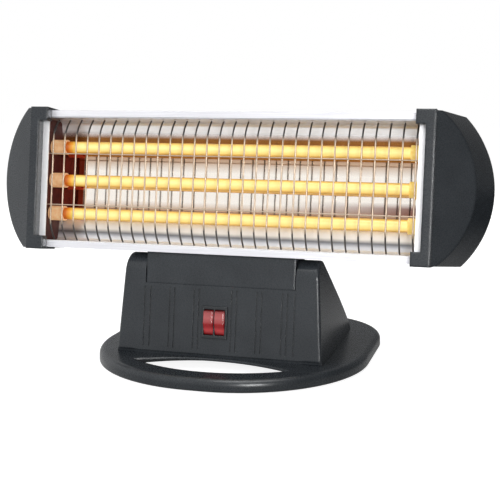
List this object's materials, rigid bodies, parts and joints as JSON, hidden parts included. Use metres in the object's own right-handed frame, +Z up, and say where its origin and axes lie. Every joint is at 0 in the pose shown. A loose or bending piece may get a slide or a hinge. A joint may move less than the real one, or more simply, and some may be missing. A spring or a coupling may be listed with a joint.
{
  "type": "quartz heater",
  "caption": "Table-top quartz heater: wide guarded head with glowing tubes and moulded end caps, tilting on a pedestal with rocker switches and a ring base with a hand-hold.",
  "frame": {"origin": "on the floor, under the middle of the base", "axes": "+X along the tubes to the viewer's right, -Y to the front, +Z up"},
  "size_m": [0.503, 0.287, 0.2522],
  "materials": {
    "black_plastic": "satin moulded",
    "switch_black": "moulded",
    "red_rocker": "glossy translucent",
    "rubber": "matt",
    "zinc_screw": "zinc plated",
    "steel": "turned",
    "nylon": "moulded",
    "brass": "stamped",
    "painted_steel": "heat-proof satin",
    "mirror_sheet": "mirror polished",
    "bright_aluminium": "bright anodised",
    "hot_quartz": "milky, glowing",
    "hot_wire": "glowing",
    "ceramic": "unglazed",
    "chrome_wire": "bright"
  },
  "bodies": {
    "base": {"base_plate": "black_plastic", "bottom_cover": "black_plastic", "rubber_feet": "rubber", "base_screws": "zinc_screw", "cover_screws": "zinc_screw", "pedestal_shell": "black_plastic", "switch_frame": "switch_black", "switch_terminals": "brass", "tip_switch": "switch_black", "plunger_spring": "steel", "terminal_block": "nylon", "cord_gland": "rubber"},
    "head": {"neck_block": "black_plastic", "end_cap_left": "black_plastic", "end_cap_right": "black_plastic", "neck_screws": "zinc_screw", "cap_screws": "zinc_screw", "pivot_pin_left": "steel", "pivot_pin_right": "steel", "friction_washer_left": "nylon", "friction_washer_right": "nylon", "bus_strip_left": "brass", "bus_strip_right": "brass", "terminal_pins_left": "brass", "terminal_pins_right": "brass", "housing_shell": "painted_steel", "reflector": "mirror_sheet", "top_rail": "bright_aluminium", "bottom_rail": "bright_aluminium", "end_plate_left": "bright_aluminium", "end_plate_right": "bright_aluminium", "quartz_tube_top": "hot_quartz", "quartz_tube_middle": "hot_quartz", "quartz_tube_bottom": "hot_quartz", "heating_coil_top": "hot_wire", "heating_coil_middle": "hot_wire", "heating_coil_bottom": "hot_wire", "ceramic_end_top_left": "ceramic", "ceramic_end_top_right": "ceramic", "ceramic_end_middle_left": "ceramic", "ceramic_end_middle_right": "ceramic", "ceramic_end_bottom_left": "ceramic", "ceramic_end_bottom_right": "ceramic", "guard_uprights": "chrome_wire", "guard_cross_wires": "chrome_wire"},
    "rocker_left": {"rocker_left": "red_rocker"},
    "rocker_right": {"rocker_right": "red_rocker"},
    "plunger": {"tip_plunger": "nylon"}
  },
  "joints": [
    {"name": "head_tilt", "type": "hinge", "parent": "base", "child": "head", "pos_m": [0, -0.0455, 0.09], "axis": [-1, 0, 0], "range_deg": [-9, 21]},
    {"name": "rocker_left_press", "type": "hinge", "parent": "base", "child": "rocker_left", "pos_m": [0, -0.06916, 0.04736], "axis": [-1, 0, 0], "range_deg": [0, 22]},
    {"name": "rocker_right_press", "type": "hinge", "parent": "base", "child": "rocker_right", "pos_m": [0, -0.06916, 0.04736], "axis": [-1, 0, 0], "range_deg": [0, 22]},
    {"name": "plunger_drop", "type": "slide", "parent": "base", "child": "plunger", "axis": [0, 0, 1], "range_m": [-0.004, 0], "stiffness_N_per_m": 150, "springref_m": -0.008, "deforming": ["plunger_spring"]}
  ]
}
